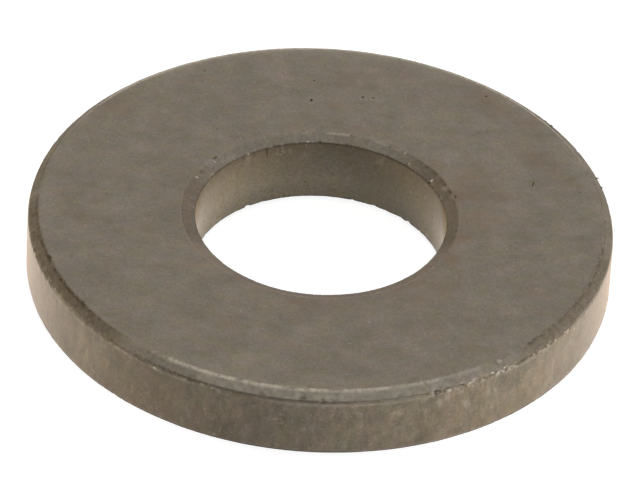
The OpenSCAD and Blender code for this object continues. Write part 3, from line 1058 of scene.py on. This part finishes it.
def by_surface(tree, masks, values):
    """A value for the ground face, the bevels, the walls, and dirt with painted shade."""
    face, bevel, wall, dirt = values
    clean = between(tree, masks["burnished"], between(tree, masks["pressed"], face, bevel), wall)
    return between(tree, masks["dark"], clean, dirt)


def bumps(tree, position):
    """Small dents and grains in the surface."""
    grains, dents = [texture(tree, position, recipe) for recipe in (GRAIN_TEXTURE, DENT_TEXTURE)]
    return add(tree, "Bump", {"Strength": BUMP_STRENGTH, "Distance": BUMP_DISTANCE,
                              "Height": join(tree, grains, dents, "ADD")}).outputs[0]


def ferrite():
    """Unglazed sintered ferrite: brownish grey, mottled and speckled, with dirt in its low places, painted
    shade and painted highlights.

    The ground faces have a faint lay along X. The pressed walls have faint drag marks along Z, a warm
    powdery sheen and a soft gleam.
    """
    material = bpy.data.materials.new("ferrite")
    material.use_nodes = True
    tree = material.node_tree
    place = add(tree, "TexCoord").outputs["Object"]
    position = add(tree, "VectorMath", {0: place, "Scale": 1 / MM}, operation="SCALE").outputs[0]
    masks = {name: add(tree, "Attribute", attribute_name=name).outputs["Fac"] for name in MASKS}
    colour = bare_colour(tree, position, masks)
    colour = mottled(tree, position, masks, colour)
    colour = soiled(tree, position, masks, colour)
    clean_walls = product(tree, masks["burnished"], between(tree, masks["dark"], 1, DARKENED_SHARE))
    feed(tree, tree.nodes["Principled BSDF"], {
        "Base Color": colour,
        "Roughness": by_surface(tree, masks, ROUGHNESS),
        "IOR": IOR,
        "Specular IOR Level": by_surface(tree, masks, SHINE),
        "Specular Tint": SPECULAR_TINT,
        "Sheen Weight": product(tree, clean_walls, between(tree, masks["bore"], 1, BORE_SHEEN)),
        "Sheen Roughness": SHEEN_ROUGHNESS,
        "Sheen Tint": SHEEN_TINT,
        "Coat Weight": product(tree, clean_walls, between(tree, masks["bore"], 1, BORE_COAT)),
        "Coat Roughness": COAT_ROUGHNESS,
        "Coat IOR": COAT_IOR,
        "Normal": bumps(tree, position)})
    return material


# ---- stage, lamps and camera
def grey(level):
    """A neutral colour."""
    return level, level, level, 1


def seen_directly(tree):
    """1 for rays from the camera and for mirrored or refracted ones, which see the plain background."""
    path = add(tree, "LightPath").outputs
    seen = path["Is Camera Ray"]
    for kind in ("Is Glossy Ray", "Is Transmission Ray"):
        seen = join(tree, seen, path[kind], "MAXIMUM")
    return seen


def white_floor():
    """Paper that lights the ring from below, and shows as plain white with some of its soft shadow."""
    material = bpy.data.materials.new("white_floor")
    material.use_nodes = True
    tree = material.node_tree
    paper = add(tree, "BsdfDiffuse", {"Color": grey(FLOOR_PAPER)})
    glow = add(tree, "Emission", {"Color": grey(1), "Strength": FLOOR_GLOW})
    shaded = add(tree, "BsdfDiffuse", {"Color": grey(FLOOR_SHADED)})
    shown = add(tree, "AddShader", {0: glow.outputs[0], 1: shaded.outputs[0]})
    both = add(tree, "MixShader", {0: seen_directly(tree), 1: paper.outputs[0], 2: shown.outputs[0]})
    feed(tree, tree.nodes["Material Output"], {"Surface": both.outputs[0]})
    tree.nodes.remove(tree.nodes["Principled BSDF"])
    return material


def make_floor():
    """A wide white floor."""
    mesh = bpy.data.meshes.new("floor")
    sides = ((-1, -1), (1, -1), (1, 1), (-1, 1))
    mesh.from_pydata([(x * FLOOR_HALF, y * FLOOR_HALF, FLOOR_HEIGHT) for x, y in sides], [], [(0, 1, 2, 3)])
    mesh.materials.append(white_floor())
    floor = placed("floor", mesh)


def make_world():
    """Dim, even white light."""
    world = bpy.data.worlds.new("studio")
    world.use_nodes = True
    bpy.context.scene.world = world
    feed(world.node_tree, world.node_tree.nodes["Background"], {"Color": grey(1), "Strength": WORLD_STRENGTH})


def facing(direction):
    """Rotation that turns local -Z towards a direction."""
    return Vector(direction).to_track_quat("-Z", "Y").to_matrix().to_4x4()


def make_lamps():
    """Round softboxes that all face the ring."""
    for name, bearing, elevation, distance, width, power, colour in LAMPS:
        lamp = bpy.data.lights.new(name, "AREA")
        lamp.shape = "DISK"
        lamp.size = width
        lamp.energy = power
        lamp.color = colour
        rise = math.radians(elevation)
        place = Vector(polar(bearing, distance * math.cos(rise), distance * math.sin(rise)))
        holder = placed(name, lamp)
        holder.matrix_world = Matrix.Translation(place) @ facing(-place)


def make_camera():
    """A long lens from the front, well above the ring, rolled a little anticlockwise."""
    elevation = math.radians(CAMERA_ELEVATION)
    roll = math.radians(CAMERA_ROLL)
    back = Vector((0, -math.cos(elevation), math.sin(elevation)))
    right = Vector((1, 0, 0))
    up = back.cross(right)
    local_x = math.cos(roll) * right + math.sin(roll) * up
    local_y = -math.sin(roll) * right + math.cos(roll) * up
    turned = Matrix((local_x, local_y, back)).transposed().to_4x4()
    camera = bpy.data.cameras.new("camera")
    camera.sensor_width = CAMERA_SENSOR
    camera.lens = CAMERA_LENS
    holder = placed("camera", camera)
    holder.matrix_world = Matrix.Translation(Vector(CAMERA_TARGET) + back * CAMERA_DISTANCE) @ turned
    bpy.context.scene.camera = holder


ring = make_ring()
ring.data.materials.append(ferrite())
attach(ring, "root")
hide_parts(NODE)

make_floor()
make_world()
make_lamps()
make_camera()
bpy.context.scene.view_settings.view_transform = "Standard"
